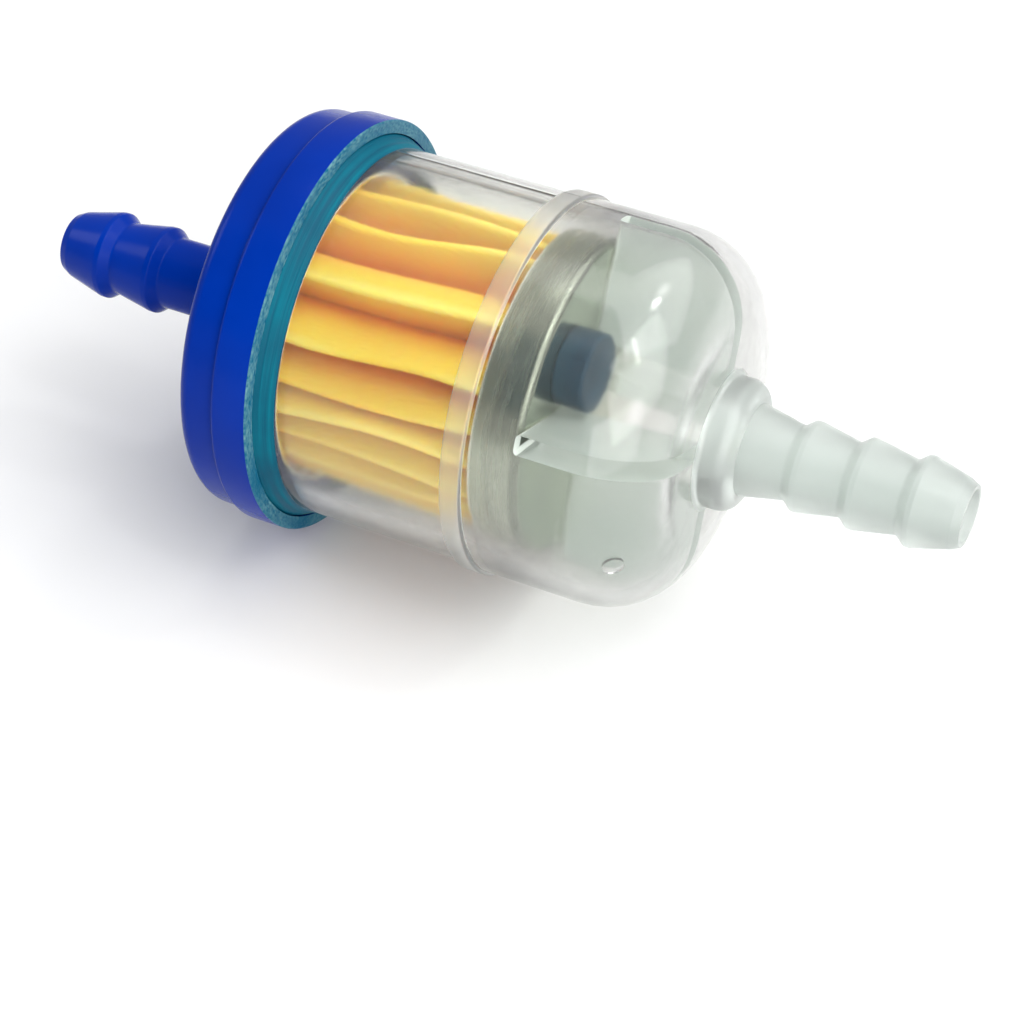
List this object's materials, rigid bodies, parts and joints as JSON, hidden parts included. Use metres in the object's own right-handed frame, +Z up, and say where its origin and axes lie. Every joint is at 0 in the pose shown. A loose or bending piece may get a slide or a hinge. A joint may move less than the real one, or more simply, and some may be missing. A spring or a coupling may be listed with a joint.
{
  "type": "in-line magnetic hose filter",
  "caption": "Sealed in-line hose filter: blue barbed cap, clear ribbed bowl with a barbed tip, pleated paper element with steel end caps, and a disc magnet.",
  "frame": {"origin": "centre of the overall box, on the filter's axis halfway between the two hose tips", "axes": "+X along the axis from the blue cap's hose tip to the clear bowl's hose tip; +Z up"},
  "size_m": [0.092, 0.04, 0.04],
  "materials": {
    "cap_plastic": "glossy blue moulding, slightly translucent at thin edges",
    "clear_plastic": "clear, slightly milky moulded plastic with a faint grey-green tint",
    "steel": "drawn sheet steel with fine scratches along its side",
    "potting": "cured brown adhesive",
    "core_metal": "tinned sheet, dull",
    "filter_paper": "resin-cured pleated filter paper, warm yellow, fibrous and matt",
    "magnet": "dark blue-grey ferrite disc, smooth matt",
    "rubber": "black nitrile, matt"
  },
  "bodies": {
    "root": {"blue_cap": "cap_plastic", "clear_bowl": "clear_plastic", "closed_steel_cap": "steel", "open_steel_cap": "steel", "closed_potting_bed": "potting", "open_potting_bed": "potting", "core_tube": "core_metal", "pleated_paper": "filter_paper", "seam_clip": "core_metal", "magnet": "magnet", "rubber_seal": "rubber"}
  },
  "joints": []
}
